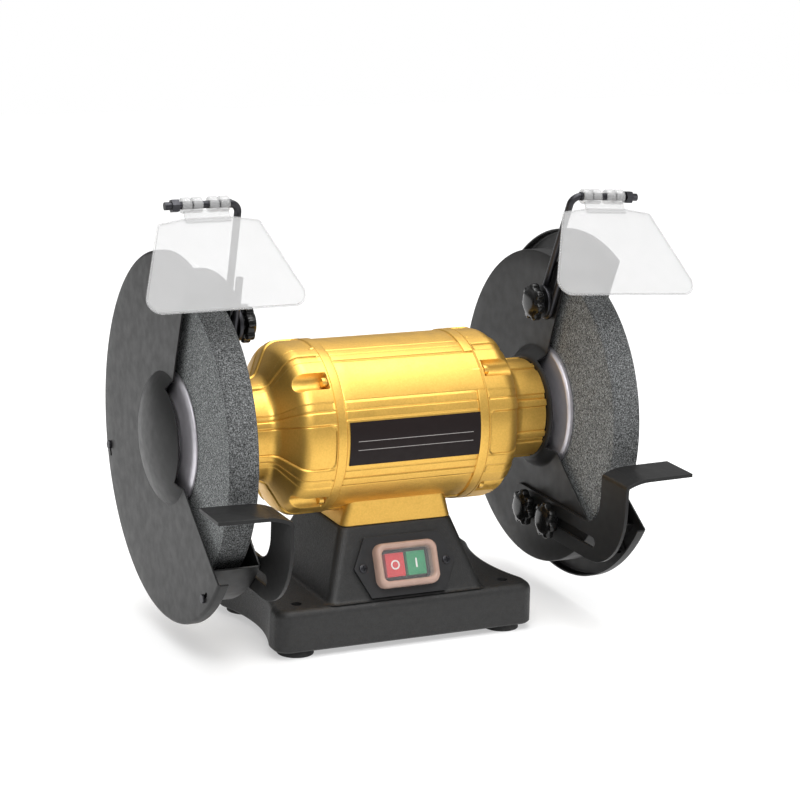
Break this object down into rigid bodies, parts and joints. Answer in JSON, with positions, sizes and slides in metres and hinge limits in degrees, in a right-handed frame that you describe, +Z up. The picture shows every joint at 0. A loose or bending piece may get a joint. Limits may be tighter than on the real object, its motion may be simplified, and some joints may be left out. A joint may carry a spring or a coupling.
{
  "type": "bench grinder",
  "caption": "Bench grinder: motor on a cast pedestal drives two guarded abrasive wheels, with slotted tool rests, clear eye shields and push-button switch.",
  "frame": {"origin": "on the bench top, at the centre of the four foot holes", "axes": "+X along the spindle to the operator's right, -Y towards the operator, +Z up"},
  "size_m": [0.4869, 0.3225, 0.384],
  "materials": {
    "cast": "black textured enamel",
    "sheet_black": "satin black powder coat",
    "gold": "gold metallic enamel on cast aluminium",
    "rubber": "matt black",
    "steel": "bright turned steel",
    "zinc": "zinc plated",
    "black_screw": "black oxide",
    "flange": "bright pressed steel",
    "abrasive": "rough grey vitrified abrasive with pale and dark grains",
    "paper": "blotting paper",
    "plate": "dark printed plate without lettering",
    "plastic": "moulded black plastic",
    "knob": "glossy black phenolic",
    "clear": "clear polycarbonate",
    "boot": "clear flexible vinyl with a pink tint",
    "red": "red moulded plastic",
    "green": "green moulded plastic",
    "lamination": "laminated electrical steel",
    "copper": "varnished copper winding",
    "ceramic": "cream terminal moulding"
  },
  "bodies": {
    "stand": {"base": "cast", "base_plate": "sheet_black", "base_plate_screws": "zinc", "rubber_feet": "rubber", "terminal_block": "ceramic", "cable_gland": "plastic", "switch_plate": "plastic", "switch_body": "plastic", "switch_cover": "boot", "switch_screws": "black_screw", "motor_housing": "gold", "end_bell_left": "gold", "end_bell_right": "gold", "bell_screws": "gold", "saddle_bolts": "zinc", "name_plate": "plate", "stator_core": "lamination", "stator_windings": "copper", "bearing_left": "steel", "bearing_right": "steel", "wave_washer": "steel", "guard_shell_left": "sheet_black", "guard_shell_right": "sheet_black", "guard_cover_left": "sheet_black", "guard_cover_right": "sheet_black", "cover_screws_left": "black_screw", "cover_screws_right": "black_screw", "guard_screws": "zinc", "guard_studs_left": "black_screw", "guard_studs_right": "black_screw"},
    "spindle": {"rotor": "lamination", "shaft": "steel", "wheel_left": "abrasive", "wheel_right": "abrasive", "inner_flange_left": "flange", "inner_flange_right": "flange", "outer_flange_left": "flange", "outer_flange_right": "flange", "blotters": "paper", "arbor_nut_left": "steel", "arbor_nut_right": "steel"},
    "rest_left": {"tool_rest_left": "sheet_black"},
    "rest_knob_left_rear": {"rest_knob_left_rear": "knob"},
    "rest_knob_left_front": {"rest_knob_left_front": "knob"},
    "shield_knob_left": {"shield_knob_left": "knob"},
    "shield_clamp_left": {"shield_clamp_left": "black_screw"},
    "shield_arm_left": {"shield_arm_left": "black_screw"},
    "eye_shield_left": {"eye_shield_left": "clear"},
    "shield_rod_nut_left": {"shield_rod_nut_left": "black_screw"},
    "rest_right": {"tool_rest_right": "sheet_black"},
    "rest_knob_right_rear": {"rest_knob_right_rear": "knob"},
    "rest_knob_right_front": {"rest_knob_right_front": "knob"},
    "shield_knob_right": {"shield_knob_right": "knob"},
    "shield_clamp_right": {"shield_clamp_right": "black_screw"},
    "shield_arm_right": {"shield_arm_right": "black_screw"},
    "eye_shield_right": {"eye_shield_right": "clear"},
    "shield_rod_nut_right": {"shield_rod_nut_right": "black_screw"},
    "button_on": {"button_on": "green"},
    "button_off": {"button_off": "red"}
  },
  "joints": [
    {"name": "spindle_spin", "type": "hinge", "parent": "stand", "child": "spindle", "pos_m": [0, 0, 0.178], "axis": [1, 0, 0], "continuous": true},
    {"name": "rest_left_slide", "type": "slide", "parent": "stand", "child": "rest_left", "axis": [0, 1, 0], "range_m": [-0.015, 0.003]},
    {"name": "rest_knob_left_rear_turn", "type": "hinge", "parent": "stand", "child": "rest_knob_left_rear", "pos_m": [-0.14, -0.008, 0.0885], "axis": [1, 0, 0], "range_deg": [0, 360]},
    {"name": "rest_knob_left_front_turn", "type": "hinge", "parent": "stand", "child": "rest_knob_left_front", "pos_m": [-0.14, -0.049, 0.0885], "axis": [1, 0, 0], "range_deg": [0, 360]},
    {"name": "shield_knob_left_turn", "type": "hinge", "parent": "stand", "child": "shield_knob_left", "pos_m": [-0.135, -0.027, 0.276], "axis": [1, 0, 0], "range_deg": [0, 360]},
    {"name": "shield_left_swing", "type": "hinge", "parent": "stand", "child": "shield_clamp_left", "pos_m": [-0.145, -0.027, 0.276], "axis": [1, 0, 0], "range_deg": [-12.5, 19.5]},
    {"name": "shield_left_height", "type": "slide", "parent": "shield_clamp_left", "child": "shield_arm_left", "axis": [0, -0.2164, 0.9763], "range_m": [-0.025, 0.001]},
    {"name": "eye_shield_left_tilt", "type": "hinge", "parent": "shield_arm_left", "child": "eye_shield_left", "pos_m": [-0.1552, -0.04029, 0.37753], "axis": [1, 0, 0], "range_deg": [-50, 10]},
    {"name": "shield_rod_nut_left_turn", "type": "hinge", "parent": "shield_arm_left", "child": "shield_rod_nut_left", "pos_m": [-0.1552, -0.04029, 0.37753], "axis": [-1, 0, 0], "range_deg": [0, 360]},
    {"name": "rest_right_slide", "type": "slide", "parent": "stand", "child": "rest_right", "axis": [0, 1, 0], "range_m": [-0.015, 0.003]},
    {"name": "rest_knob_right_rear_turn", "type": "hinge", "parent": "stand", "child": "rest_knob_right_rear", "pos_m": [0.14, -0.008, 0.0885], "axis": [-1, 0, 0], "range_deg": [0, 360]},
    {"name": "rest_knob_right_front_turn", "type": "hinge", "parent": "stand", "child": "rest_knob_right_front", "pos_m": [0.14, -0.049, 0.0885], "axis": [-1, 0, 0], "range_deg": [0, 360]},
    {"name": "shield_knob_right_turn", "type": "hinge", "parent": "stand", "child": "shield_knob_right", "pos_m": [0.135, -0.02, 0.276], "axis": [-1, 0, 0], "range_deg": [0, 360]},
    {"name": "shield_right_swing", "type": "hinge", "parent": "stand", "child": "shield_clamp_right", "pos_m": [0.145, -0.02, 0.276], "axis": [1, 0, 0], "range_deg": [-24.5, 7.5]},
    {"name": "shield_right_height", "type": "slide", "parent": "shield_clamp_right", "child": "shield_arm_right", "axis": [0, -0.4147, 0.91], "range_m": [-0.025, 0.001]},
    {"name": "eye_shield_right_tilt", "type": "hinge", "parent": "shield_arm_right", "child": "eye_shield_right", "pos_m": [0.15576, -0.0541, 0.37253], "axis": [0.9976, 0.0289, -0.0635], "range_deg": [-50, 10]},
    {"name": "shield_rod_nut_right_turn", "type": "hinge", "parent": "shield_arm_right", "child": "shield_rod_nut_right", "pos_m": [0.15576, -0.0541, 0.37253], "axis": [0.9976, 0.0289, -0.0635], "range_deg": [0, 360]},
    {"name": "button_on_press", "type": "slide", "parent": "stand", "child": "button_on", "axis": [0, 0.9158, -0.4017], "range_m": [0, 0.003], "stiffness_N_per_m": 400, "springref_m": -0.002},
    {"name": "button_off_press", "type": "slide", "parent": "stand", "child": "button_off", "axis": [0, 0.9158, -0.4017], "range_m": [0, 0.003], "stiffness_N_per_m": 400, "springref_m": -0.002}
  ]
}
